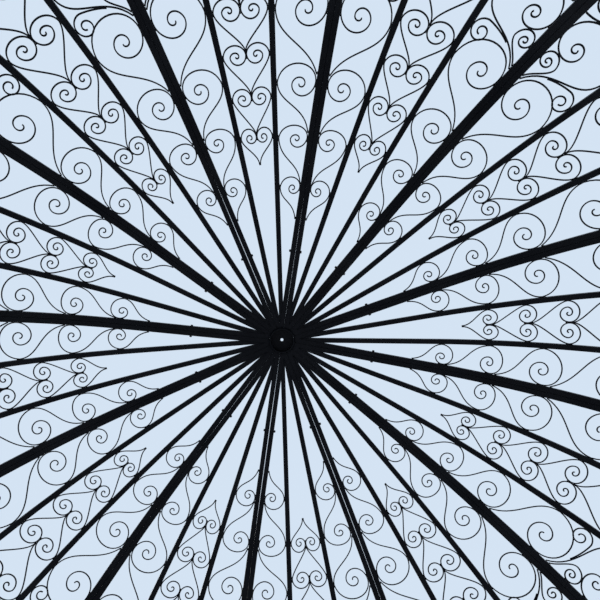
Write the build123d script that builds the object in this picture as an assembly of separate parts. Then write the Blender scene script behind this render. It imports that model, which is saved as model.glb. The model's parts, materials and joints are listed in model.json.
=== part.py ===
"""Domed roof frame of a round wrought-iron garden gazebo.

Twelve pie-shaped panels are bolted side by side round a crown collar. Each panel is
two curved edge tubes on a rolled eave rail, two lighter bars between them, and flat
scrolls: a chain of hearts in the middle bay and single whorls down each side bay.
Six plates under the eave carry the roof on its posts. All sizes are millimetres.
The origin is the centre of the base, on the underside of the post plates, +Z up.
"""

import os
from math import ceil, cos, degrees, hypot, pi, radians, sin, tan

from build123d import *

# Plan of the roof
panel_count = 12
bays_per_panel = 3
panel_slit = 2.0

# Square tube of the edge tubes and of the bars
tube_width = 30.0
tube_depth = 30.0

# Dome, measured along the middle of the tubes
crown_slope = 17.0
straight_reach = 940.0
haunch_radius = 1550.0
foot_slope = 76.0

# Crown collar and the plate that closes it. The collar's share is set against the
# circle on which the ribs would meet side by side.
collar_share = 0.7
collar_wall = 8.0
collar_rise = 14.0
crown_plate_thickness = 6.0
crown_hole_radius = 10.0

# Eave rail, and the plates that the posts bolt to, one under every other rib
rail_width = 40.0
rail_height = 30.0
post_count = 6
plate_length = 130.0
plate_width = 80.0
plate_thickness = 8.0
plate_hole_radius = 6.5
plate_hole_offset = 45.0

# Flat scrolls of square bar, drawn with few straight parts
scroll_stock = 6.5
whorl_angle = 300.0
whorl_step_angle = 60.0
tail_parts = 2
tail_leave = (0.52, 0.15)
tail_arrive_share = 0.42
seating_rounds = 8
weld_gap = 0.3

# Hearts of the middle bay, each with its point between the lobes of the one before:
# start, length, how far the outer ends are drawn out
heart_weld_share = 0.4
heart_curl = 0.66
hearts = (
    (1148.0, 203.0, 1.1),
    (1317.0, 241.0, 1.1),
    (1524.0, 252.0, 1.0),
    (1742.0, 250.0, 1.0),
    (1958.0, 300.0, 1.0),
    (2224.0, 288.0, 1.0),
)

# Scrolls of a side bay: start, length, how far the outer end is drawn out, and the
# share of the bay's width that the scroll fills
side_curl = 0.57
side_scrolls = (
    (853.0, 246.0, 1.2, 1.0),
    (1085.0, 297.0, 0.9, 1.0),
    (1368.0, 333.0, 1.0, 1.0),
    (1680.0, 409.0, 1.1, 1.0),
    (2080.0, 360.0, 1.0, 1.0),
    (2410.0, 135.0, 0.9, 0.45),
)

# What follows from the sizes
panel_angle = 360.0 / panel_count
bay_angle = panel_angle / bays_per_panel
edge_offset = (panel_slit + tube_width) / 2
rib_half_width = panel_slit / 2 + tube_width
bar_half_width = tube_width / 2
collar_radius = collar_share * rib_half_width / sin(radians(panel_angle / 2))
arc_centre_reach = straight_reach - haunch_radius * sin(radians(crown_slope))
foot_reach = arc_centre_reach + haunch_radius * sin(radians(foot_slope))
rail_top = plate_thickness + rail_height
arc_centre_height = rail_top - haunch_radius * cos(radians(foot_slope))
straight_end_height = arc_centre_height + haunch_radius * cos(radians(crown_slope))
straight_length = straight_reach / cos(radians(crown_slope))
crown_height = straight_end_height + straight_reach * tan(radians(crown_slope))
foot_station = straight_length + haunch_radius * radians(foot_slope - crown_slope)
model_reach = foot_reach + plate_length
tube_lift = tube_depth / 2 / cos(radians(crown_slope))


def meridian(station):
    """Reach, height and slope in degrees at a length along the dome from its axis."""
    if station <= straight_length:
        drop = station * sin(radians(crown_slope))
        return station * cos(radians(crown_slope)), crown_height - drop, crown_slope
    slope = crown_slope + degrees((station - straight_length) / haunch_radius)
    return (*arc_point(haunch_radius, slope), slope)


def arc_point(radius, slope):
    """Point in the meridian plane on a circle about the haunch's centre."""
    return (
        arc_centre_reach + radius * sin(radians(slope)),
        arc_centre_height + radius * cos(radians(slope)),
    )


def meridian_band():
    """Side view of one tube, from the axis to a little below the rail's top."""
    overrun = foot_slope + degrees(tube_depth / haunch_radius)
    middle = (crown_slope + overrun) / 2
    sides = []
    for sign in (1, -1):
        radius = haunch_radius + sign * tube_depth / 2
        start = (0, crown_height + sign * tube_lift)
        bend, waist, end = (arc_point(radius, a) for a in (crown_slope, middle, overrun))
        sides.append((start, bend, waist, end))
    outer, inner = sides
    outline = Wire(
        [
            Line(outer[0], outer[1]),
            ThreePointArc(outer[1], outer[2], outer[3]),
            Line(outer[3], inner[3]),
            ThreePointArc(inner[3], inner[2], inner[1]),
            Line(inner[1], inner[0]),
            Line(inner[0], outer[0]),
        ]
    )
    return Plane.XZ * Face(outline)


def disc(radius, bottom, top):
    """Solid cylinder on the axis of the roof between two heights."""
    return Pos(0, 0, (bottom + top) / 2) * Cylinder(radius, top - bottom)


def sector(start_angle, start_offset, end_angle, end_offset):
    """Upright prism of the plan between two radial planes, set in from both of them.

    Each offset is the distance from the radial plane to the side of the prism.
    """
    span = radians(end_angle - start_angle)
    far = 2 * model_reach

    def rotated(along, across, angle):
        a = radians(angle)
        return along * cos(a) - across * sin(a), along * sin(a) + across * cos(a)

    # Where the two sides meet, as a length along the first side
    apex = (end_offset + start_offset * cos(span)) / sin(span)
    corners = [
        rotated(apex, start_offset, start_angle),
        rotated(far, start_offset, start_angle),
        rotated(far, -end_offset, end_angle),
    ]
    return extrude(Face(Wire(Polyline(*corners, close=True))), amount=2 * crown_height)


def curved_tube(offset):
    """Tube down the dome above +X, set off to one side, from the collar to the rail."""
    tube = extrude(meridian_band(), amount=tube_width / 2, both=True)
    tube = Pos(0, offset, 0) * tube
    tube -= disc(collar_radius + weld_gap, 0, 2 * crown_height)
    floor_side = 4 * model_reach
    return tube - Pos(0, 0, rail_top - floor_side / 2) * Box(floor_side, floor_side, floor_side)


def panel_frame():
    """Edge tubes of one panel, mitred at its tip and welded on its length of eave rail."""
    ring = disc(foot_reach + rail_width / 2, plate_thickness, rail_top)
    ring -= disc(foot_reach - rail_width / 2, plate_thickness, rail_top)
    half = panel_angle / 2
    rail = ring & sector(-half, panel_slit / 2, half, panel_slit / 2)
    left = Rot(0, 0, half) * curved_tube(-edge_offset) & sector(0, 0, half, 0)
    right = Rot(0, 0, -half) * curved_tube(edge_offset) & sector(-half, 0, 0, 0)
    return rail + left + right


def panel_bars():
    """Two bars between the edge tubes, mitred to points where they meet at the crown."""
    half = panel_angle / 2
    clear = rib_half_width + weld_gap
    bars = []
    for side in (1, -1):
        bar = Rot(0, 0, side * bay_angle / 2) * curved_tube(0)
        if side > 0:
            room = sector(0, weld_gap / 2, half, clear)
        else:
            room = sector(-half, clear, 0, weld_gap / 2)
        bars.append(bar & room)
    return bars


def scroll_line(length, width, draw, curl):
    """Middle line of a scroll that grows from one side of its bay and fills it.

    The line starts on v = 0, swings out to v = width, rounds the outer end and curls
    in, each half turn curl times as wide as the one before. The whorl's centre is at
    u = 0, and draw stretches its outer half along u.
    """
    radius = width / 2
    tail = length - draw * radius
    leave_along, leave_across = tail_leave
    controls = (
        (-tail, 0),
        (-leave_along * tail, leave_across * width),
        (-tail_arrive_share * tail, width),
        (0, width),
    )
    points = []
    for i in range(tail_parts):
        t = i / tail_parts
        weights = ((1 - t) ** 3, 3 * t * (1 - t) ** 2, 3 * t * t * (1 - t), t**3)
        points.append(tuple(sum(w * c[k] for w, c in zip(weights, controls)) for k in (0, 1)))
    outer = width / (1 + curl)
    count = ceil(whorl_angle / whorl_step_angle)
    for i in range(count + 1):
        angle = radians(i * whorl_angle / count)
        reach = outer * curl ** (angle / pi)
        along = reach * sin(angle)
        if along > 0:
            along *= draw * radius / (outer * curl**0.5)
        points.append((along, width - outer + reach * cos(angle)))
    return points


def stroke(points, thickness):
    """Closed outline of a bar of one thickness along a line, mitred at its corners."""
    sides = ([], [])
    directions = []
    for (x0, y0), (x1, y1) in zip(points, points[1:]):
        run = hypot(x1 - x0, y1 - y0)
        directions.append(((x1 - x0) / run, (y1 - y0) / run))
    for i, (x, y) in enumerate(points):
        before = directions[max(i - 1, 0)]
        after = directions[min(i, len(directions) - 1)]
        mid = (before[0] + after[0], before[1] + after[1])
        size = hypot(*mid)
        normal = (-mid[1] / size, mid[0] / size)
        mitre = thickness / 2 / (normal[0] * -before[1] + normal[1] * before[0])
        for side, sign in zip(sides, (1, -1)):
            side.append((x + sign * mitre * normal[0], y + sign * mitre * normal[1]))
    return sides[0] + sides[1][::-1]


def flat_scroll(start, length, draw, share, curl, bay, side):
    """One scroll, flat in the plane that touches the dome at the middle of its whorl.

    Args:
        start: length along the dome to the point where the scroll grows from its side.
        length: the scroll's whole length down the dome.
        draw: how far the outer end is stretched.
        share: how much of the bay's width the scroll fills.
        curl: width of each half turn against the one before.
        bay: -1, 0 or 1, from the panel's right to its left.
        side: 1 where the scroll grows to the left, -1 to the right.
    """
    slant = radians(bay_angle / 2)

    def faces(reach):
        """Faces of the tubes on the bay's near and far side, from its middle line."""
        far = reach * tan(slant) - bar_half_width / cos(slant)
        return rib_half_width / cos(slant) - reach * tan(slant) if bay else 0, far

    near_inset = scroll_stock / 2 if bay else scroll_stock * heart_weld_share
    far_inset = scroll_stock / 2
    centre = start + length
    for _ in range(seating_rounds):
        reach, height, slope = meridian(centre)
        run, rise = cos(radians(slope)), sin(radians(slope))
        near, far = faces(reach)
        width = (far - far_inset - near - near_inset) * share
        line = []
        for u, v in scroll_line(length, width, draw, curl):
            near, far = faces(reach + u * run)
            room = (far - far_inset - near - near_inset) * share
            line.append((u, near + near_inset + v * room / width))
        outline = stroke(line, scroll_stock)
        gaps = []
        for u, v in outline:
            near, far = faces(reach + u * run - scroll_stock / 2 * rise)
            gaps.append(((v - near) * cos(slant), (far - v) * cos(slant)))
        if bay:
            near_inset += weld_gap - min(gap[0] for gap in gaps)
        if share == 1:
            far_inset += weld_gap - min(gap[1] for gap in gaps)
        centre = start + length - draw * width / 2
    outline = [(u, side * v) for u, v in outline]
    plane = Plane(origin=(reach, 0, height), x_dir=(run, 0, -rise), z_dir=(rise, 0, run))
    flat = extrude(Face(Wire(Polyline(*outline, close=True))), scroll_stock / 2, both=True)
    return Rot(0, 0, bay * bay_angle) * (plane.location * flat)


def panel_scrolls():
    """Scrolls of one panel: hearts down the middle, and single scrolls beside them."""
    scrolls = []
    for start, length, draw in hearts:
        if start + length < foot_station:
            halves = [flat_scroll(start, length, draw, 1.0, heart_curl, 0, s) for s in (1, -1)]
            scrolls.append(halves[0].fuse(halves[1]))
    for start, length, draw, share in side_scrolls:
        if start + length < foot_station:
            for bay in (1, -1):
                scrolls.append(flat_scroll(start, length, draw, share, side_curl, bay, -bay))
    return scrolls


def crown_collar():
    """Short tube that the ends of all the tubes are welded to."""
    reach_drop = (collar_radius + weld_gap) * tan(radians(crown_slope))
    middle = crown_height - reach_drop
    bottom = middle - tube_lift - collar_rise
    top = middle + tube_lift + collar_rise
    return disc(collar_radius, bottom, top) - disc(collar_radius - collar_wall, bottom, top)


def crown_plate():
    """Round plate on the collar, with the hole for a finial in its middle."""
    bottom = crown_collar().bounding_box().max.Z
    top = bottom + crown_plate_thickness
    return disc(collar_radius, bottom, top) - disc(crown_hole_radius, bottom, top)


def post_plate():
    """Plate on a post, under the joint of two panels, with a bolt hole each side."""
    centre = Pos(foot_reach, 0, plate_thickness / 2)
    plate = centre * Box(plate_length, plate_width, plate_thickness)
    for offset in (-plate_hole_offset, plate_hole_offset):
        plate -= centre * Pos(offset, 0, 0) * Cylinder(plate_hole_radius, plate_thickness)
    return plate


def around(shapes, angle):
    """The same shapes, turned about the roof's axis."""
    return [Rot(0, 0, angle) * shape for shape in shapes]


def save(name, shapes):
    """Write the solids of one piece to its own file."""
    solids = [solid for shape in shapes for solid in shape.solids()]
    export_step(Compound(children=solids), f"parts/{name}.step")


def main():
    """Build one panel, turn it round the crown, and write every piece."""
    os.makedirs("parts", exist_ok=True)
    frame, bars, scrolls = [panel_frame()], panel_bars(), panel_scrolls()
    for i in range(panel_count):
        angle = (i + 0.5) * panel_angle
        save(f"panel_{i + 1:02d}_frame", around(frame, angle))
        save(f"panel_{i + 1:02d}_bars", around(bars, angle))
        save(f"panel_{i + 1:02d}_scrolls", around(scrolls, angle))
    save("crown_collar", [crown_collar()])
    save("crown_plate", [crown_plate()])
    plates = [around([post_plate()], i * 360 / post_count)[0] for i in range(post_count)]
    save("post_plates", plates)


main()
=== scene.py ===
"""Looks of the domed gazebo roof frame: black painted ironwork under a pale sky.

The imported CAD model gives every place. Tubes, collar and plates are copies of their CAD
nodes with eased edges. The scrollwork, bolts and weld beads are made here with Geometry
Nodes. Lengths are metres in the frame of the CAD model, except where millimetres are named.
"""

import json
import logging
from collections.abc import Iterator, Sequence
from dataclasses import dataclass, field
from enum import Enum
from math import atan2, copysign, cos, hypot, pi, radians, sin, tan

import bmesh
import bpy
from mathutils import Matrix, Vector

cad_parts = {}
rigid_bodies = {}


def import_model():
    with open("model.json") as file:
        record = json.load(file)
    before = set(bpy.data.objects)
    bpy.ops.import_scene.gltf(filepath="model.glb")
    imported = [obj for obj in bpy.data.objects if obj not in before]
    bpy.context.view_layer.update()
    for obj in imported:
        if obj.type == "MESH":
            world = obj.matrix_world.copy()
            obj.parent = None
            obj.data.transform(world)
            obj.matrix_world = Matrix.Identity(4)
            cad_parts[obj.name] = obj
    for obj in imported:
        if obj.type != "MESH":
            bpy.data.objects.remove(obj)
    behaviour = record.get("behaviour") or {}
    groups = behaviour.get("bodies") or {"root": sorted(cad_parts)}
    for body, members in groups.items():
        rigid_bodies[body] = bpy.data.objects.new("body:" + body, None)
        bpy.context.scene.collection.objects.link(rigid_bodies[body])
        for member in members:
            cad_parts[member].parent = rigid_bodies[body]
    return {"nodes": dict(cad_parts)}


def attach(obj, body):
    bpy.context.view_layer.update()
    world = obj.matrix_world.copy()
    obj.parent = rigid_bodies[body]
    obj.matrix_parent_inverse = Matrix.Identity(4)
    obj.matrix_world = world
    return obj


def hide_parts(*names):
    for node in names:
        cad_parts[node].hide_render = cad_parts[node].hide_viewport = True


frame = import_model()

LOG = logging.getLogger("gazebo_roof")
MM = 0.001

# How finely scrolls are drawn: straight parts of a tail, and angle of one part of a whorl
TAIL_PARTS = 18
CURL_TAIL_PARTS = 16
WHORL_STEP = radians(9.0)

# Rounds in which a whorl's width and place are fitted to the tapering bay
SEATING_ROUNDS = 6

# Distance of a heart's half from the bay's middle line, as a share of the bar's width
HEART_INSET = 0.42

# How strongly large faces set the smooth shading
FACE_WEIGHT = 80

# Colour sockets of the Mix node: its inputs and its result
MIX_INPUTS = (0, 6, 7)
MIX_RESULT = 2

Colour = tuple[float, float, float]
Point = tuple[float, float]
Line = Sequence[Point]
Material = bpy.types.Material
Mesh = bpy.types.Mesh
Object = bpy.types.Object


class Slot(Enum):
    """The record's material slots."""

    IRON = "black_iron"
    SCROLLS = "black_scrolls"


class Term:
    """A node's socket, wrapped so that shader and geometry maths read as expressions."""

    def __init__(self, graph: "Graph", socket: bpy.types.NodeSocket) -> None:
        """Keep the socket and the graph that new Math nodes go into."""
        self.graph = graph
        self.socket = socket

    def _math(self, operation: str, *values: "Value") -> "Term":
        """Math node of one operation on two values."""
        return self.graph.node("ShaderNodeMath", {"operation": operation}, dict(enumerate(values)))

    def __add__(self, other: "Value") -> "Term":
        """self + other"""
        return self._math("ADD", self, other)

    def __radd__(self, other: "Value") -> "Term":
        """other + self"""
        return self._math("ADD", other, self)

    def __mul__(self, other: "Value") -> "Term":
        """self * other"""
        return self._math("MULTIPLY", self, other)

    def __rmul__(self, other: "Value") -> "Term":
        """other * self"""
        return self._math("MULTIPLY", other, self)


Value = Term | float


class Graph:
    """One node tree of a material, a world or a Geometry Nodes modifier."""

    def __init__(self, tree: bpy.types.NodeTree) -> None:
        """Start from an empty tree."""
        self.tree = tree
        tree.nodes.clear()

    def node(
        self,
        kind: str,
        settings: dict[str, object] | None = None,
        inputs: dict[str | int, object] | None = None,
        output: str | int = 0,
    ) -> Term | None:
        """Add one node.

        Args:
            kind: Blender's name of the node's type.
            settings: the node's own options, with a ramp's stops under "stops".
            inputs: values, links or lists of links by the name or number of the socket.
            output: the output socket that is handed back.

        Returns:
            The output as a term, or None for a node without outputs.
        """
        made = self.tree.nodes.new(kind)
        for name, value in (settings or {}).items():
            if name == "stops":
                self._set_stops(made.color_ramp, value)
            else:
                setattr(made, name, value)
        for key, value in (inputs or {}).items():
            socket = made.inputs[key]
            for link in value if isinstance(value, list) else [value]:
                if isinstance(link, Term):
                    self.tree.links.new(link.socket, socket)
                else:
                    socket.default_value = link
        return Term(self, made.outputs[output]) if len(made.outputs) else None

    def _set_stops(self, ramp: bpy.types.ColorRamp, stops: Sequence[Point]) -> None:
        """Give a ramp its grey stops.

        Args:
            ramp: the ramp.
            stops: place and value of each stop.
        """
        while len(ramp.elements) < len(stops):
            ramp.elements.new(1.0)
        for element, (place, grey) in zip(ramp.elements, stops):
            element.position = place
            element.color = (grey, grey, grey, 1.0)

    def ramp(self, value: Value, *stops: Point) -> Term:
        """Colour ramp of greys over a value."""
        return self.node("ShaderNodeValToRGB", {"stops": stops}, {0: value})

    def blend(self, share: Value, low: Colour | Term, high: Colour | Term) -> Term:
        """Mix two colours.

        Args:
            share: how much of the second colour shows.
            low: the first colour.
            high: the second colour.

        Returns:
            The mixed colour.
        """
        ends = [end if isinstance(end, Term) else (*end, 1.0) for end in (low, high)]
        inputs = dict(zip(MIX_INPUTS, (share, *ends)))
        return self.node("ShaderNodeMix", {"data_type": "RGBA"}, inputs, MIX_RESULT)

    def noise(self, place: Term, scale: float, detail: float = 3.0) -> Term:
        """Cloudy noise at one scale, in features per metre."""
        inputs = {"Vector": place, "Scale": scale, "Detail": detail}
        return self.node("ShaderNodeTexNoise", {}, inputs)

    def random(self, low: float, high: float, seed: Value) -> Term:
        """Draw a vector for each point.

        Args:
            low: least value of each of its numbers.
            high: greatest value.
            seed: what sets the draw.

        Returns:
            The vector.
        """
        inputs = {0: (low,) * 3, 1: (high,) * 3, "Seed": seed}
        return self.node("FunctionNodeRandomValue", {"data_type": "FLOAT_VECTOR"}, inputs)


@dataclass(frozen=True)
class Enamel:
    """Black enamel brushed over steel, with a little dust on what faces the sky.

    Attributes:
        name: the material's name.
        colour: the fresh enamel.
        faded: the enamel where weather has dulled it.
        dust: what has settled on upper faces.
        dust_share: how much of the dust shows.
        dust_roughness: how much rougher the dust is.
        roughness: lowest and highest roughness.
        patches: size of the dulled patches, in features per metre.
        grain: the same for the marks of brush and hammer.
        pits: size of the pits against the grain.
        pit_depth: depth of the pits against the relief.
        pit_roughness: how much rougher the pits are.
        relief: height of the marks, in metres.
        bump: strength of the relief.
        specular: the shader's specular level.
    """

    name: str
    colour: Colour = (0.0024, 0.0035, 0.0068)
    faded: Colour = (0.0066, 0.0084, 0.0125)
    dust: Colour = (0.12, 0.115, 0.10)
    dust_share: float = 0.28
    dust_roughness: float = 0.2
    roughness: tuple[float, float] = (0.36, 0.58)
    patches: float = 4.0
    grain: float = 70.0
    pits: float = 5.0
    pit_depth: float = 0.35
    pit_roughness: float = 0.08
    relief: float = 0.0008
    bump: float = 0.55
    specular: float = 0.09

    def material(self) -> Material:
        """Build the material on Object coordinates.

        Returns:
            The material.
        """
        material = bpy.data.materials.new(self.name)
        material.use_nodes = True
        graph = Graph(material.node_tree)
        place = graph.node("ShaderNodeTexCoord", output="Object")
        clouds = graph.noise(place, self.patches, 4.0)
        marks = graph.noise(place, self.grain, 3.0)
        fine = graph.noise(place, self.grain * self.pits, 2.0)
        pits = graph.ramp(fine, (0.62, 0.0), (0.75, 1.0))
        facing = graph.node("ShaderNodeNewGeometry", output="Normal")
        upward = graph.node("ShaderNodeSeparateXYZ", {}, {0: facing}, "Z")
        uneven = graph.ramp(clouds, (0.3, 0.2), (0.7, 1.0))
        settled = graph.ramp(upward, (0.35, 0.0), (0.95, 1.0)) * uneven
        dulled = graph.ramp(clouds, (0.35, 0.0), (0.72, 1.0))
        enamel = graph.blend(dulled, self.colour, self.faded)
        colour = graph.blend(settled * self.dust_share, enamel, self.dust)
        low, high = self.roughness
        painted = low + (high - low) * marks
        dusty = self.dust_roughness * settled * self.dust_share
        roughness = painted + dusty + self.pit_roughness * pits
        height = marks + self.pit_depth * pits
        raised = {"Strength": self.bump, "Distance": self.relief, "Height": height}
        normal = graph.node("ShaderNodeBump", {}, raised)
        inputs = {"Base Color": colour, "Roughness": roughness, "Normal": normal}
        inputs["Specular IOR Level"] = self.specular
        shader = graph.node("ShaderNodeBsdfPrincipled", {}, inputs)
        graph.node("ShaderNodeOutputMaterial", {}, {"Surface": shader})
        return material


@dataclass(frozen=True)
class Finishes:
    """The finishes of the roof, each built once.

    Attributes:
        tubes: for the tubes, the collar and the plates.
        scrolls: for the scrollwork.
        welds: for the beads of weld.
        bolts: for the bolts of the ribs.
    """

    tubes: Material
    scrolls: Material
    welds: Material
    bolts: Material

    @classmethod
    def build(cls) -> "Finishes":
        """Make the four materials.

        Returns:
            The finishes.
        """
        return cls(
            tubes=Enamel("tube_enamel").material(),
            scrolls=Enamel(
                "forged_scroll_enamel", grain=48.0, relief=0.0012, roughness=(0.40, 0.64)
            ).material(),
            welds=Enamel(
                "weld_bead_enamel",
                faded=(0.022, 0.019, 0.017),
                grain=320.0,
                relief=0.0006,
                roughness=(0.48, 0.72),
            ).material(),
            bolts=Enamel(
                "bolt_enamel",
                faded=(0.030, 0.031, 0.034),
                grain=210.0,
                relief=0.0003,
                roughness=(0.30, 0.48),
                specular=0.20,
            ).material(),
        )


class Recipe:
    """A Geometry Nodes tree with named inputs, which is run on a mesh and leaves a mesh."""

    def __init__(self, name: str, inputs: dict[str, str]) -> None:
        """Start a tree.

        Args:
            name: the tree's name.
            inputs: the kind of socket of each named input, without its prefix.
        """
        group = bpy.data.node_groups.new(name, "GeometryNodeTree")
        self.graph = Graph(group)
        new = group.interface.new_socket
        new("Geometry", in_out="INPUT", socket_type="NodeSocketGeometry")
        self.identifiers = {
            key: new(key, in_out="INPUT", socket_type=f"NodeSocket{kind}").identifier
            for key, kind in inputs.items()
        }
        new("Geometry", in_out="OUTPUT", socket_type="NodeSocketGeometry")

    def given(self, name: str) -> Term:
        """One input of the tree as a term."""
        return self.graph.node("NodeGroupInput", output=name)

    def close(self, geometry: Term) -> None:
        """End the tree in real meshes with their finish on.

        Args:
            geometry: what the tree has made.
        """
        real = self.graph.node("GeometryNodeRealizeInstances", {}, {"Geometry": geometry})
        inputs = {"Geometry": real, "Material": self.given("Finish")}
        dressed = self.graph.node("GeometryNodeSetMaterial", {}, inputs)
        self.graph.node("NodeGroupOutput", {}, {0: dressed})

    def close_on_points(self, shape: Term, turned: dict[str, Term]) -> None:
        """Put a shape on every point of what goes in, and end the tree.

        Args:
            shape: the shape.
            turned: how it is turned and scaled, by the name of the socket.
        """
        inputs = {"Points": self.given("Geometry"), "Instance": shape, **turned}
        self.close(self.graph.node("GeometryNodeInstanceOnPoints", {}, inputs))

    def run(self, mesh: Mesh, values: dict[str, object]) -> Mesh:
        """Run the tree on a mesh.

        Args:
            mesh: what goes in.
            values: a value for each named input.

        Returns:
            The result as a plain mesh.
        """
        carrier = in_scene("carrier", mesh)
        modifier = carrier.modifiers.new("recipe", "NODES")
        modifier.node_group = self.graph.tree
        for name, value in values.items():
            modifier[self.identifiers[name]] = value
        return as_evaluated(carrier)


def in_scene(name: str, data: bpy.types.ID) -> Object:
    """Put a mesh, a lamp or a camera into the scene.

    Args:
        name: name of the new object.
        data: what it shows.

    Returns:
        The object.
    """
    made = bpy.data.objects.new(name, data)
    bpy.context.scene.collection.objects.link(made)
    return made


def as_evaluated(carrier: Object) -> Mesh:
    """Apply an object's modifiers and let the object go.

    Args:
        carrier: the object.

    Returns:
        Its mesh with all modifiers applied.
    """
    graph = bpy.context.evaluated_depsgraph_get()
    made = bpy.data.meshes.new_from_object(carrier.evaluated_get(graph), depsgraph=graph)
    bpy.data.objects.remove(carrier)
    return made


@dataclass(frozen=True)
class Dome:
    """Middle surface of the roof: a straight cone at the crown and one round haunch.

    Attributes:
        crown_slope: slope of the straight part, in radians.
        straight_reach: reach from the axis at which the haunch starts.
        haunch_radius: radius of the haunch, in the meridian plane.
        foot_slope: slope where the tubes stand on the eave rail, in radians.
        rail_top: height of the rail's top.
        panels: number of panels.
        bays: number of bays in a panel.
        tube: width and depth of the square tube.
        slit: slit between two neighbouring panels.
    """

    crown_slope: float = radians(17.0)
    straight_reach: float = 0.940
    haunch_radius: float = 1.550
    foot_slope: float = radians(76.0)
    rail_top: float = 0.038
    panels: int = 12
    bays: int = 3
    tube: float = 0.030
    slit: float = 0.002

    @property
    def rib_half(self) -> float:
        """Half the width of two neighbouring edge tubes."""
        return self.slit / 2 + self.tube

    @property
    def straight_length(self) -> float:
        """Length of the straight part, from the axis."""
        return self.straight_reach / cos(self.crown_slope)

    @property
    def panel_turn(self) -> float:
        """Angle of one panel, in radians."""
        return 2 * pi / self.panels

    @property
    def bay_turn(self) -> float:
        """Angle of one bay, in radians."""
        return self.panel_turn / self.bays

    def middle(self, panel: int) -> float:
        """Direction of a panel's middle line, in radians."""
        return (panel + 0.5) * self.panel_turn

    def meridian(self, station: float) -> tuple[float, float, float]:
        """Follow the dome down from its axis.

        Args:
            station: length along the dome from its axis.

        Returns:
            Reach, height and slope there.
        """
        centre_reach = self.straight_reach - self.haunch_radius * sin(self.crown_slope)
        centre_height = self.rail_top - self.haunch_radius * cos(self.foot_slope)
        along = max(station - self.straight_length, 0.0)
        slope = self.crown_slope + along / self.haunch_radius
        reach = centre_reach + self.haunch_radius * sin(slope)
        height = centre_height + self.haunch_radius * cos(slope)
        short = min(station - self.straight_length, 0.0)
        return reach + short * cos(slope), height - short * sin(slope), slope

    def place(self, azimuth: float, station: float, across: float, lift: float = 0.0) -> Vector:
        """Find a point on the dome.

        Args:
            azimuth: direction of the meridian, in radians.
            station: length along the meridian from the axis.
            across: distance to the left of the meridian, seen from the axis.
            lift: distance above the middle surface.

        Returns:
            The point in the frame of the CAD model.
        """
        reach, height, slope = self.meridian(station)
        out = reach + lift * sin(slope)
        x = out * cos(azimuth) - across * sin(azimuth)
        y = out * sin(azimuth) + across * cos(azimuth)
        return Vector((x, y, height + lift * cos(slope)))


@dataclass(frozen=True)
class Bay:
    """One bay with the bars set in it, which all grow from the same side.

    Attributes:
        dome: the dome that the bay is part of.
        azimuth: direction of its middle line, in radians.
        side: 1 where the bars grow to the left, -1 to the right.
        beside_rib: whether they grow from a rib, or else from the bay's middle line.
        drift: how far down the dome they were set, in millimetres.
        stock: width of the square bar.
    """

    dome: Dome
    azimuth: float
    side: int
    beside_rib: bool
    drift: float
    stock: float

    def faces(self, station: float) -> Point:
        """Find what the bars lie between.

        Args:
            station: length along the dome from its axis.

        Returns:
            Distances of the near and the far side from the bay's middle line.
        """
        reach = self.dome.meridian(station)[0]
        slant = self.dome.bay_turn / 2
        far = reach * tan(slant) - self.dome.tube / 2 / cos(slant)
        near = self.dome.rib_half / cos(slant) - reach * tan(slant)
        return near if self.beside_rib else 0.0, far

    def room(self, station: float, share: float) -> Point:
        """Find where the middle line of a bar may lie.

        Args:
            station: length along the dome from its axis.
            share: how much of the bay's width the bar's scroll fills.

        Returns:
            Distance of the near limit from the bay's middle line, and width up to the far one.
        """
        near, far = self.faces(station)
        inset = self.stock / 2 if self.beside_rib else self.stock * HEART_INSET
        return near + inset, (far - self.stock / 2 - near - inset) * share

    def turned(self, line: Line) -> list[Point]:
        """The line on the side of the bay's middle that the bars grow to."""
        return [(u, self.side * v) for u, v in line]


@dataclass(frozen=True)
class Scroll:
    """One scroll of square bar, drawn on the unrolled bay.

    Attributes:
        start: station where the bar leaves its side of the bay, in millimetres.
        length: length down the dome to its outer end, in millimetres.
        draw: how far the outer end is drawn out.
        curl: width of each half turn against the one before, in the outer turn.
        leave: where the tail's first control point is, as shares of its length and width.
        arrive: where its second control point is, as a share of its length.
        inner: width of each half turn against the one before, further in.
        turns: turns of the whorl.
        share: how much of the bay's width the scroll fills.
    """

    start: float
    length: float
    draw: float
    curl: float
    leave: Point
    arrive: float
    inner: float = 0.40
    turns: float = 2.0
    share: float = 1.0

    def seat(self, bay: Bay) -> Point:
        """Fit the whorl's width and its place in the taper, which depend on each other.

        Args:
            bay: the bay that the scroll is set in.

        Returns:
            Width of the whorl and station of its centre.
        """
        start = (self.start + bay.drift) * MM
        centre = start + self.length * MM
        width = 0.0
        for _ in range(SEATING_ROUNDS):
            width = bay.room(centre, self.share)[1]
            centre = start + (self.length * MM) - self.draw * width / 2
        return width, centre

    def outline(self, width: float) -> list[Point]:
        """Draw the middle line on a bay that doesn't taper.

        Args:
            width: width of the whorl and of that bay.

        Returns:
            Points along and across the bay, with the whorl's centre at 0 along it.
        """
        radius = width / 2
        tail = self.length * MM - self.draw * radius
        controls = (
            (-tail, 0.0),
            (-self.leave[0] * tail, self.leave[1] * width),
            (-self.arrive * tail, width),
            (0.0, width),
        )
        points = [bezier(controls, i / TAIL_PARTS) for i in range(TAIL_PARTS)]
        outer = width / (1 + self.curl)
        drawn = self.draw * radius / (outer * self.curl**0.5)
        for over, along in whorl(self.turns, outer, self.curl, 1.0, self.inner):
            points.append((along * drawn if along > 0 else along, width - outer + over))
        return points

    def line(self, bay: Bay) -> list[Point]:
        """Draw the middle line with the bay's taper.

        Args:
            bay: the bay that the scroll is set in.

        Returns:
            Points as station and distance from the bay's middle line.
        """
        width, centre = self.seat(bay)
        points = []
        for u, v in self.outline(width):
            low, room = bay.room(centre + u, self.share)
            points.append((centre + u, low + v * room / width))
        return points


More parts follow.
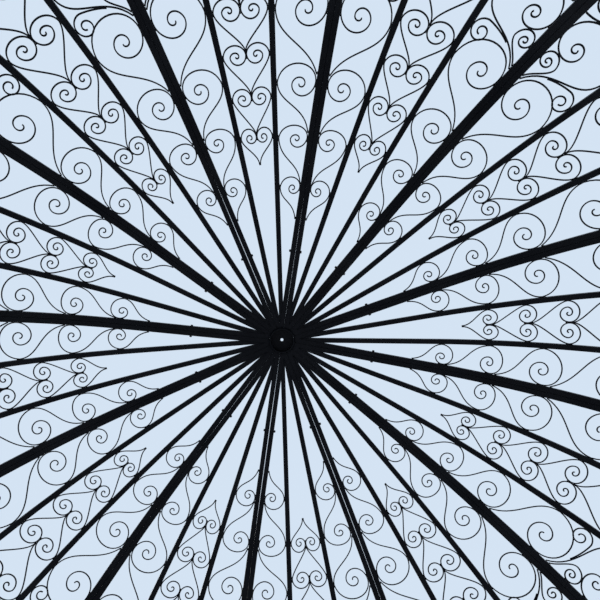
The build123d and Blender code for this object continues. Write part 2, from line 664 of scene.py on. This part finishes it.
@dataclass(frozen=True)
class CornerCurl:
    """Small whorl that parts from a scroll's tail and fills the corner behind it.

    Attributes:
        parting: point of the tail's line from which it parts.
        lead: how far it keeps the tail's direction, in millimetres.
        tip: station of its outermost point, in millimetres.
        middle: where the whorl's centre is, as a share of the bay's width.
        reach: distance from that centre to the tip, in millimetres.
        swell: how far before the tip the line turns into the whorl, as a share of the reach.
        curl: width of the first half turn against the tip's.
        inner: width of each half turn against the one before, further in.
        turns: turns of the whorl.
    """

    parting: int = 5
    lead: float = 40.0
    tip: float = 2158.0
    middle: float = 0.82
    reach: float = 60.0
    swell: float = 0.40
    curl: float = 0.70
    inner: float = 0.58
    turns: float = 1.5

    def line(self, bay: Bay, tail: Line) -> list[Point]:
        """Draw the middle line.

        Args:
            bay: the side bay that the curl is set in.
            tail: the line of the scroll that it parts from.

        Returns:
            Points as station and distance from the bay's middle line.
        """
        before, (u, v), after = tail[self.parting - 1 : self.parting + 2]
        run = hypot(after[0] - before[0], after[1] - before[1])
        down = (after[0] - before[0]) / run
        over = (after[1] - before[1]) / run
        begin = (u - over * bay.stock, v + down * bay.stock)
        lead = self.lead * MM
        reach = self.reach * MM
        tip = (self.tip + bay.drift) * MM
        centre = tip - reach
        near, far = bay.faces(centre)
        low = near + bay.stock / 2
        high = far - bay.stock / 2
        middle = low + self.middle * (high - low)
        squeeze = min(1.0, (high - middle) / (reach * self.curl**0.5))
        controls = (
            begin,
            (begin[0] + down * lead, begin[1] + over * lead),
            (tip, middle - self.swell * reach),
            (tip, middle),
        )
        points = [bezier(controls, i / CURL_TAIL_PARTS) for i in range(CURL_TAIL_PARTS)]
        for along, over in whorl(self.turns, reach, self.curl, 0.5, self.inner):
            points.append((centre + along, middle + squeeze * over))
        return points


def whorl(turns: float, reach: float, curl: float, outer: float, inner: float) -> Iterator[Point]:
    """Draw a whorl about its centre.

    Args:
        turns: its turns.
        reach: distance of its first point.
        curl: width of each half turn against the one before, in the outer part.
        outer: turns of the outer part.
        inner: width of each half turn against the one before, further in.

    Yields:
        Its points from the outside in, the first of them on the first axis.
    """
    count = round(turns * 2 * pi / WHORL_STEP)
    for i in range(count + 1):
        turn = turns * i / count
        narrowed = (curl**2) ** min(turn, outer) * (inner**2) ** max(turn - outer, 0.0)
        angle = 2 * pi * turn
        yield reach * narrowed * cos(angle), reach * narrowed * sin(angle)


def bezier(controls: Sequence[Point], t: float) -> Point:
    """Find a point of a cubic Bezier curve.

    Args:
        controls: its four control points.
        t: place on the curve, from 0 to 1.

    Returns:
        The point.
    """
    weights = ((1 - t) ** 3, 3 * t * (1 - t) ** 2, 3 * t * t * (1 - t), t**3)
    u, v = (sum(w * c[k] for w, c in zip(weights, controls)) for k in (0, 1))
    return u, v


def line_mesh(lines: Sequence[Line]) -> Mesh:
    """Make a mesh of loose edges along flat lines.

    Args:
        lines: the points of each line.

    Returns:
        The mesh, flat at height 0.
    """
    points: list[tuple[float, float, float]] = []
    edges: list[tuple[int, int]] = []
    for line in lines:
        first = len(points)
        points += [(u, v, 0.0) for u, v in line]
        edges += [(first + i, first + i + 1) for i in range(len(line) - 1)]
    mesh = bpy.data.meshes.new("lines")
    mesh.from_pydata(points, edges, [])
    return mesh


def point_mesh(points: Sequence[Vector], marks: dict[str, Sequence[Vector]]) -> Mesh:
    """Make a mesh of loose points.

    Args:
        points: where they are.
        marks: named vectors, one for each point.

    Returns:
        The mesh, with the vectors as attributes of its points.
    """
    mesh = bpy.data.meshes.new("points")
    mesh.from_pydata([tuple(point) for point in points], [], [])
    for name, values in marks.items():
        layer = mesh.attributes.new(name, "FLOAT_VECTOR", "POINT")
        for item, value in zip(layer.data, values):
            item.vector = value
    return mesh


def add_piece(
    mesh: Mesh,
    name: str,
    slot: Slot,
    replaced: Sequence[str] = (),
    crisp: float = 40.0,
) -> None:
    """Make a mesh a piece of the roof.

    Args:
        mesh: the finished mesh, in its place.
        name: the piece's name.
        slot: the material slot meant for its finish; not used.
        replaced: CAD nodes that it stands for.
        crisp: edges sharper than this many degrees stay sharp.
    """
    mesh.name = name
    mesh.shade_smooth()
    mesh.set_sharp_from_angle(angle=radians(crisp))
    piece = in_scene(name, mesh)
    weigh = piece.modifiers.new("even_faces", "WEIGHTED_NORMAL")
    weigh.keep_sharp = True
    weigh.weight = FACE_WEIGHT
    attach(piece, "root")
    if replaced:
        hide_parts(*replaced)
    LOG.info("%s: %d faces", name, len(mesh.polygons))


def closed(parts: Sequence[Mesh], name: str) -> Mesh:
    """Join closed shells so that all their faces point outwards.

    Args:
        parts: meshes with the same materials.
        name: name of the new mesh.

    Returns:
        One mesh of all the shells.
    """
    bm = bmesh.new()
    for part in parts:
        bm.from_mesh(part)
    bmesh.ops.recalc_face_normals(bm, faces=bm.faces)
    mesh = bpy.data.meshes.new(name)
    bm.to_mesh(mesh)
    bm.free()
    for material in parts[0].materials:
        mesh.materials.append(material)
    return mesh


@dataclass(frozen=True)
class Joint:
    """Slit between two neighbouring panels, which bolts and paint close towards its ends.

    Attributes:
        wide: its greatest width, in millimetres.
        widest: reach from the axis at which it is widest.
        span: distance from there at which it has narrowed to its rest.
        rest: its width past that, in millimetres.
    """

    wide: float = 1.0
    widest: float = 0.60
    span: float = 0.50
    rest: float = 0.6

    def half_width(self, reach: float) -> float:
        """Half its width at one reach."""
        swell = max(0.0, 1 - ((reach - self.widest) / self.span) ** 2)
        return (self.rest + (self.wide - self.rest) * swell) * MM / 2


@dataclass
class EasedTubework:
    """Copies of CAD nodes with the small radius that rolled tube and sawn plate have.

    Attributes:
        dome: the dome that the tubes follow.
        finish: what the tubes and plates are painted with.
        ease: radius of their edges.
        segments: number of faces round each edge.
        sharp: edges sharper than this angle are eased, in radians.
        merge: corners of triangles nearer than this are one.
        flat: faces that meet at less than this angle are one, in radians.
        joint: the slit of most ribs.
        open_joints: the slits of the ribs that stand open.
        cuts: reaches at which the straight tubes are cut so that they can bow.
        beside: how near a slit's middle its sides are looked for, as a share of its width.
    """

    dome: Dome
    finish: Material
    ease: float = 0.0022
    segments: int = 2
    sharp: float = radians(35.0)
    merge: float = 1e-5
    flat: float = radians(0.4)
    joint: Joint = Joint()
    open_joints: dict[int, Joint] = field(
        default_factory=lambda: {
            3: Joint(3.8, 0.64, 0.46),
            4: Joint(1.2, 0.52, 0.42),
            9: Joint(3.4, 1.00, 0.75),
            10: Joint(3.6, 0.68, 0.50),
            11: Joint(2.8, 0.52, 0.50),
        }
    )
    cuts: tuple[float, ...] = (0.25, 0.40, 0.55, 0.70, 0.85)
    beside: float = 0.6

    def set_joints(self, bm: bmesh.types.BMesh, panel: int) -> None:
        """Give the slits on both sides of a panel their own width.

        Args:
            bm: the panel's edge tubes and rail, whose slit sides are moved.
            panel: the panel's number, from 0.
        """
        step = self.dome.panel_turn
        middle = self.dome.middle(panel)
        outward = Vector((cos(middle), sin(middle), 0.0))
        for reach in self.cuts:
            geometry = [*bm.verts, *bm.edges, *bm.faces]
            cut = outward * reach
            bmesh.ops.bisect_plane(bm, geom=geometry, plane_co=cut, plane_no=outward)
        for vertex in bm.verts:
            rib = round(atan2(vertex.co.y, vertex.co.x) / step)
            side = Vector((-sin(rib * step), cos(rib * step), 0.0))
            off = vertex.co.dot(side)
            if abs(off) < self.beside * self.dome.slit:
                joint = self.open_joints.get(rib % self.dome.panels, self.joint)
                reach = hypot(vertex.co.x, vertex.co.y)
                vertex.co += side * (copysign(joint.half_width(reach), off) - off)

    def copy(self, node: str, name: str, panel: int | None = None) -> None:
        """Copy one node, merge its triangles, and ease its edges.

        Args:
            node: the CAD node.
            name: the new piece's name.
            panel: the panel whose slits run beside it.
        """
        bm = bmesh.new()
        bm.from_mesh(frame["nodes"][node].data)
        bmesh.ops.remove_doubles(bm, verts=bm.verts, dist=self.merge)
        bmesh.ops.dissolve_limit(bm, angle_limit=self.flat, verts=bm.verts, edges=bm.edges)
        if panel is not None:
            self.set_joints(bm, panel)
        mesh = bpy.data.meshes.new(name)
        bm.to_mesh(mesh)
        bm.free()
        mesh.materials.clear()
        mesh.materials.append(self.finish)
        carrier = in_scene("carrier", mesh)
        bevel = carrier.modifiers.new("ease", "BEVEL")
        bevel.width = self.ease
        bevel.segments = self.segments
        bevel.limit_method = "ANGLE"
        bevel.angle_limit = self.sharp
        add_piece(as_evaluated(carrier), name, Slot.IRON, [node])

    def build(self) -> None:
        """Copy the tubes of every panel, the collar and the plates."""
        for i in range(self.dome.panels):
            self.copy(f"panel_{i + 1:02d}_frame", f"panel_{i + 1:02d}_edge_tubes", i)
            self.copy(f"panel_{i + 1:02d}_bars", f"panel_{i + 1:02d}_thin_bars")
        for node in ("crown_collar", "crown_plate", "post_plates"):
            self.copy(node, f"{node}_eased")


@dataclass
class Scrollwork:
    """Hearts and whorls of all panels, each bay set a little up or down as it was made.

    Attributes:
        dome: the dome that the scrolls are bent to.
        finish: what they are painted with.
        stock: width of the square bar.
        corner: chamfer of its edges.
        hearts: the middle bay's hearts, from the crown down.
        whorls: a side bay's whorls, from the crown down.
        parent: the whorl from whose tail the corner curl parts.
        curl: the small whorl in the side bay's corner.
        heart_drift: how far down each panel's hearts are set, in millimetres.
        rib_drift: the same for the whorls on both sides of each rib.
        recipe: the tree that sweeps the bar.
    """

    dome: Dome
    finish: Material
    stock: float = 0.0065
    corner: float = 0.0010
    hearts: tuple[Scroll, ...] = (
        Scroll(1146, 203, 1.20, 0.64, (0.60, -0.03), 0.34, inner=0.42, turns=1.8),
        Scroll(1317, 242, 1.04, 0.72, (0.92, -0.15), 0.27, inner=0.35),
        Scroll(1519, 257, 0.96, 0.70, (0.78, -0.15), 0.30, inner=0.35),
        Scroll(1735, 259, 0.94, 0.68, (0.78, -0.15), 0.33, inner=0.36),
        Scroll(1955, 305, 0.92, 0.69, (0.74, -0.13), 0.31, inner=0.38),
        Scroll(2214, 300, 0.95, 0.68, (0.70, -0.10), 0.33, inner=0.38),
    )
    whorls: tuple[Scroll, ...] = (
        Scroll(853, 243, 1.09, 0.54, (0.40, 0.26), 0.45, inner=0.50, turns=1.8),
        Scroll(1057, 325, 0.90, 0.58, (0.48, 0.18), 0.51, inner=0.43),
        Scroll(1346, 353, 1.00, 0.61, (0.42, 0.19), 0.44, inner=0.45),
        Scroll(1651, 442, 1.15, 0.60, (0.49, 0.31), 0.48, inner=0.42),
        Scroll(2038, 387, 1.01, 0.45, (0.35, 0.35), 0.63, inner=0.52, turns=2.1),
        Scroll(2056, 166, 1.15, 0.65, (0.66, 0.20), 0.34, inner=0.44, turns=1.9, share=0.325),
        Scroll(2412, 132, 0.95, 0.60, (1.00, 0.40), 0.66, inner=0.45, turns=1.8, share=0.42),
    )
    parent: int = 4
    curl: CornerCurl = CornerCurl()
    heart_drift: tuple[float, ...] = (5, 5, -20, -10, 30, -5, 10, -10, 10, 35, -5, -10)
    rib_drift: tuple[float, ...] = (25, 30, 15, -5, -35, -30, 10, 10, 10, 0, 25, 10)
    recipe: Recipe = field(init=False)

    def __post_init__(self) -> None:
        """Build the tree that sweeps square bar along flat lines."""
        inputs = {"Stock": "Float", "Corner": "Float", "Finish": "Material"}
        self.recipe = Recipe("sweep_square_bar", inputs)
        graph = self.recipe.graph
        given = self.recipe.given
        lines = graph.node("GeometryNodeMeshToCurve", {}, {"Mesh": given("Geometry")})
        flat = graph.node("GeometryNodeSetCurveNormal", {"mode": "Z_UP"}, {"Curve": lines})
        sides = {"Width": given("Stock"), "Height": given("Stock")}
        square = graph.node("GeometryNodeCurvePrimitiveQuadrilateral", {"mode": "RECTANGLE"}, sides)
        eased = {"Curve": square, "Count": 1, "Radius": given("Corner")}
        profile = graph.node("GeometryNodeFilletCurve", {"mode": "POLY"}, eased)
        swept = {"Curve": flat, "Profile Curve": profile, "Fill Caps": True}
        self.recipe.close(graph.node("GeometryNodeCurveToMesh", {}, swept))

    def sweep(self, lines: Sequence[Line], azimuth: float) -> Mesh:
        """Sweep square bar along the lines of one bay and bend it to the dome.

        Args:
            lines: middle lines, as stations and distances from the bay's middle line.
            azimuth: direction of the bay's middle line, in radians.

        Returns:
            The bars in their place.
        """
        values = {"Stock": self.stock, "Corner": self.corner, "Finish": self.finish}
        mesh = self.recipe.run(line_mesh(lines), values)
        for vertex in mesh.vertices:
            vertex.co = self.dome.place(azimuth, *vertex.co)
        return mesh

    def bays(self, panel: int) -> tuple[list[Bay], list[Bay]]:
        """List the bays of a panel.

        Args:
            panel: the panel's number, from 0.

        Returns:
            Both halves of the middle bay, and the two side bays.
        """
        middle = self.dome.middle(panel)
        halves = []
        sides = []
        for side, rib in ((1, panel), (-1, (panel + 1) % self.dome.panels)):
            azimuth = middle - side * self.dome.bay_turn
            halves.append(Bay(self.dome, middle, side, False, self.heart_drift[panel], self.stock))
            sides.append(Bay(self.dome, azimuth, side, True, self.rib_drift[rib], self.stock))
        return halves, sides

    def build(self) -> None:
        """Make the scrollwork of every panel."""
        for panel in range(self.dome.panels):
            halves, sides = self.bays(panel)
            hearts = [half.turned(heart.line(half)) for heart in self.hearts for half in halves]
            meshes = [self.sweep(hearts, halves[0].azimuth)]
            for bay in sides:
                lines = [whorl.line(bay) for whorl in self.whorls]
                lines.append(self.curl.line(bay, lines[self.parent]))
                meshes.append(self.sweep([bay.turned(line) for line in lines], bay.azimuth))
            name = f"panel_{panel + 1:02d}_scrollwork"
            replaced = [f"panel_{panel + 1:02d}_scrolls"]
            add_piece(closed(meshes, name), name, Slot.SCROLLS, replaced, crisp=60.0)


@dataclass
class RibBolts:
    """Bolts that hold neighbouring panels together through their edge tubes.

    Attributes:
        dome: the dome whose ribs are bolted.
        finish: what the bolts are painted with.
        stations: stations of the bolts, in millimetres.
        size: diameter of the bolt's shank.
        parts: washer, head, washer, nut and thread end, each as number of sides, radius,
            thickness, distance from the tube, and 1 at the head's end or -1 at the nut's.
            The lengths are shares of the size.
    """

    dome: Dome
    finish: Material
    stations: tuple[float, ...] = (619.0, 2496.0)
    size: float = 0.009
    parts: tuple[tuple[int, float, float, float, int], ...] = (
        (24, 1.05, 0.20, 0.10, 1),
        (6, 0.92, 0.66, 0.53, 1),
        (24, 1.05, 0.20, 0.10, -1),
        (6, 0.92, 0.80, 0.60, -1),
        (16, 0.50, 0.50, 0.90, -1),
    )

    def recipe(self) -> Recipe:
        """Build the tree that puts a bolt on every point.

        Returns:
            The tree.
        """
        inputs = {"Grip": "Float", "Size": "Float", "Finish": "Material"}
        recipe = Recipe("bolt_on_each_point", inputs)
        graph = recipe.graph
        half = recipe.given("Grip") * 0.5
        size = recipe.given("Size")
        shapes = []
        for sides, radius, depth, out, end in self.parts:
            sizes = {"Vertices": sides, "Radius": size * radius, "Depth": size * depth}
            shape = graph.node("GeometryNodeMeshCylinder", {}, sizes)
            lift = graph.node("ShaderNodeCombineXYZ", {}, {"Z": end * (half + size * out)})
            moved = {"Geometry": shape, "Translation": lift}
            shapes.append(graph.node("GeometryNodeTransform", {}, moved))
        bolt = graph.node("GeometryNodeJoinGeometry", {}, {"Geometry": shapes})
        axis = graph.node(
            "GeometryNodeInputNamedAttribute", {"data_type": "FLOAT_VECTOR"}, {"Name": "axis"}
        )
        turn = graph.node("FunctionNodeAlignRotationToVector", {"axis": "Z"}, {"Vector": axis})
        recipe.close_on_points(bolt, {"Rotation": turn})
        return recipe

    def build(self) -> None:
        """Make the bolts of all ribs."""
        points, axes = [], []
        for rib in range(self.dome.panels):
            azimuth = rib * self.dome.panel_turn
            for station in self.stations:
                points.append(self.dome.place(azimuth, station * MM, 0.0))
                axes.append(Vector((-sin(azimuth), cos(azimuth), 0.0)))
        values = {"Grip": 2 * self.dome.rib_half, "Size": self.size, "Finish": self.finish}
        mesh = self.recipe().run(point_mesh(points, {"axis": axes}), values)
        add_piece(closed([mesh], "rib_bolts"), "rib_bolts", Slot.IRON, crisp=25.0)


@dataclass
class WeldBeads:
    """Beads of weld where the scrolls touch the tubes and each other.

    Attributes:
        scrolls: the scrollwork whose contacts are welded.
        finish: what the beads are painted with.
        size: radius of a drop, of which the next four are shares.
        spacing: distance from drop to drop.
        sink: how far a drop is sunk into the tube.
        zigzag: how far it lies above or below the middle surface.
        tail: distance from a scroll's start to the bead at its tail.
        tail_half: drops on each side of the middle one at a tail.
        side_half: the same where a whorl touches a side of its bay.
        swell: least and greatest size of a drop against the others.
        tumble: greatest turn of a drop about each axis, in radians.
    """

    scrolls: Scrollwork
    finish: Material
    size: float = 0.0027
    spacing: float = 1.7
    sink: float = 0.4
    zigzag: float = 0.55
    tail: float = 2.5
    tail_half: int = 1
    side_half: int = 3
    swell: Point = (0.7, 1.25)
    tumble: float = 6.28

    def recipe(self) -> Recipe:
        """Build the tree that puts a lumpy drop on every point.

        Returns:
            The tree.
        """
        inputs = {"Radius": "Float", "Seed": "Int", "Finish": "Material"}
        recipe = Recipe("drop_on_each_point", inputs)
        graph = recipe.graph
        given = recipe.given
        ball = {"Radius": given("Radius"), "Subdivisions": 2}
        drop = graph.node("GeometryNodeMeshIcoSphere", {}, ball)
        seed = given("Seed")
        uneven = graph.random(*self.swell, seed)
        tumbled = graph.random(0.0, self.tumble, seed + 1)
        recipe.close_on_points(drop, {"Rotation": tumbled, "Scale": uneven})
        return recipe

    def bead(self, bay: Bay, station: float, far: bool, half: int) -> list[Vector]:
        """Lay a row of drops between a scroll and the tube or scroll that it touches.

        Args:
            bay: the bay that the scroll is set in.
            station: where the two touch.
            far: whether they touch on the bay's far side.
            half: number of drops on each side of the middle one.

        Returns:
            Centres of the drops.
        """
        drops = []
        sink = self.sink * self.size
        for i in range(-half, half + 1):
            place = station + i * self.spacing * self.size
            near, end = bay.faces(place)
            across = end - sink if far else near + (sink if bay.beside_rib else 0.0)
            lift = self.size * (self.zigzag if i % 2 else -self.zigzag)
            drops.append(bay.dome.place(bay.azimuth, place, bay.side * across, lift))
        return drops

    def scroll_drops(self, scroll: Scroll, bay: Bay) -> list[Vector]:
        """Lay the beads at one scroll's tail, and where its whorl touches.

        Args:
            scroll: the scroll.
            bay: the bay that it is set in.

        Returns:
            Centres of the drops.
        """
        start = (scroll.start + bay.drift) * MM + self.tail * self.size
        centre = scroll.seat(bay)[1]
        drops = self.bead(bay, start, False, self.tail_half)
        drops += self.bead(bay, centre, False, self.side_half)
        if scroll.share == 1.0:
            drops += self.bead(bay, centre, True, self.side_half)
        return drops

    def build(self) -> None:
        """Make the beads of every panel."""
        recipe = self.recipe()
        work = self.scrolls
        for panel in range(work.dome.panels):
            halves, sides = work.bays(panel)
            set_in = [(heart, half) for heart in work.hearts for half in halves]
            set_in += [(whorl, bay) for bay in sides for whorl in work.whorls]
            drops = [drop for pair in set_in for drop in self.scroll_drops(*pair)]
            values = {"Radius": self.size, "Seed": panel + 1, "Finish": self.finish}
            mesh = recipe.run(point_mesh(drops, {}), values)
            add_piece(mesh, f"panel_{panel + 1:02d}_welds", Slot.SCROLLS, crisp=180.0)


@dataclass
class Photographer:
    """Camera below the roof, looking up, at the photograph's viewing angle.

    Attributes:
        height: height of the camera.
        offset: its distances from the roof's axis, as shares of the crown's distance.
        tilt: turns about the picture's two axes, in radians.
        roll: turn about the line of sight, in radians.
        turn: turn of the whole stand about the roof's axis, in radians.
        sensor, lens: width of the sensor and focal length, in millimetres.
        shift: shift of the lens, as shares of the picture's width.
        crown_distance: height of the crown above the camera.
        sight: how far the camera sees.
    """

    height: float = -2.0804
    offset: Point = (0.024355, 0.135465)
    tilt: Point = (-0.156646, 0.042656)
    roll: float = 0.210278
    turn: float = radians(10.0)
    sensor: float = 36.0
    lens: float = 31.2
    shift: Point = (0.0415, 0.0888)
    crown_distance: float = 3.5
    sight: float = 200.0

    def build(self) -> None:
        """Create the camera and make it the scene's."""
        roll = Matrix.Rotation(self.roll, 3, "Z")
        across = Matrix.Rotation(self.tilt[0], 3, "X")
        down = Matrix.Rotation(self.tilt[1], 3, "Y")
        right, up, forward = (Vector((-x, y, z)) for x, y, z in roll @ across @ down)
        axes = Matrix((right, up, -forward)).transposed()
        east, north = self.offset
        spot = Vector((-east * self.crown_distance, north * self.crown_distance, self.height))
        spin = Matrix.Rotation(self.turn, 3, "Z")
        camera = in_scene("camera", bpy.data.cameras.new("camera"))
        camera.matrix_world = Matrix.Translation(spin @ spot) @ (spin @ axes).to_4x4()
        camera.data.sensor_width = self.sensor
        camera.data.lens = self.lens
        camera.data.shift_x, camera.data.shift_y = self.shift
        camera.data.clip_end = self.sight
        bpy.context.scene.camera = camera


@dataclass
class Studio:
    """Pale floor that can be looked through from below, pale surroundings, soft light.

    Attributes:
        ground: colour of the floor.
        mottle: brightness of its lighter patches against the rest.
        patches: size of those patches, in features per metre.
        half: half the floor's side.
        backdrop: what the camera and reflections see round the object.
        fill: light from the surroundings.
        sun: strength of the one soft lamp.
        softness: angle over which that lamp is spread, in degrees.
        lean: turns of the lamp about the three axes, in degrees.
    """

    ground: Colour = (0.72, 0.74, 0.77)
    mottle: float = 1.06
    patches: float = 1.5
    half: float = 40.0
    backdrop: Colour = (0.66, 0.77, 0.90)
    fill: float = 0.75
    sun: float = 1.1
    softness: float = 25.0
    lean: tuple[float, float, float] = (38.0, 12.0, 35.0)

    def floor(self) -> None:
        """Lay the floor under the roof's plates."""
        mesh = bpy.data.meshes.new("floor")
        signs = ((-1, -1), (1, -1), (1, 1), (-1, 1))
        corners = [(x * self.half, y * self.half, 0.0) for x, y in signs]
        mesh.from_pydata(corners, [], [(0, 1, 2, 3)])
        material = bpy.data.materials.new("pale_floor")
        material.use_nodes = True
        graph = Graph(material.node_tree)
        place = graph.node("ShaderNodeTexCoord", output="Object")
        pale = tuple(self.mottle * channel for channel in self.ground)
        colour = graph.blend(graph.noise(place, self.patches), self.ground, pale)
        matt = graph.node("ShaderNodeBsdfDiffuse", {}, {"Color": colour})
        through = graph.node("ShaderNodeBsdfTransparent")
        below = graph.node("ShaderNodeNewGeometry", output="Backfacing")
        seen = graph.node("ShaderNodeMixShader", {}, {0: below, 1: matt, 2: through})
        graph.node("ShaderNodeOutputMaterial", {}, {"Surface": seen})
        mesh.materials.append(material)
        floor = in_scene("floor", mesh)

    def surroundings(self) -> None:
        """Light evenly from all round, and show the backdrop's colour to the camera."""
        world = bpy.data.worlds.new("surroundings")
        bpy.context.scene.world = world
        world.use_nodes = True
        graph = Graph(world.node_tree)
        white = {"Color": (1.0, 1.0, 1.0, 1.0), "Strength": self.fill}
        light = graph.node("ShaderNodeBackground", {}, white)
        pale = {"Color": (*self.backdrop, 1.0), "Strength": 1.0}
        shown = graph.node("ShaderNodeBackground", {}, pale)
        direct = graph.node("ShaderNodeLightPath", output="Is Camera Ray")
        for kind in ("Is Glossy Ray", "Is Transmission Ray"):
            direct = direct + graph.node("ShaderNodeLightPath", output=kind)
        mixed = graph.node("ShaderNodeMixShader", {}, {0: direct, 1: light, 2: shown})
        graph.node("ShaderNodeOutputWorld", {}, {"Surface": mixed})

    def lamp(self) -> None:
        """Hang one broad soft lamp high to one side."""
        lamp = bpy.data.lights.new("soft_lamp", "SUN")
        lamp.energy = self.sun
        lamp.angle = radians(self.softness)
        holder = in_scene("soft_lamp", lamp)
        holder.rotation_euler = [radians(angle) for angle in self.lean]

    def build(self) -> None:
        """Set up the whole stage."""
        bpy.context.scene.view_settings.view_transform = "Standard"
        self.floor()
        self.surroundings()
        self.lamp()


def main() -> None:
    """Build the camera, the stage and every piece."""
    logging.basicConfig(level=logging.INFO, format="%(message)s")
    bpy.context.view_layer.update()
    Photographer().build()
    Studio().build()
    finishes = Finishes.build()
    dome = Dome()
    EasedTubework(dome, finishes.tubes).build()
    scrollwork = Scrollwork(dome, finishes.scrolls)
    scrollwork.build()
    RibBolts(dome, finishes.bolts).build()
    WeldBeads(scrollwork, finishes.welds).build()


if __name__ == "__main__":
    main()
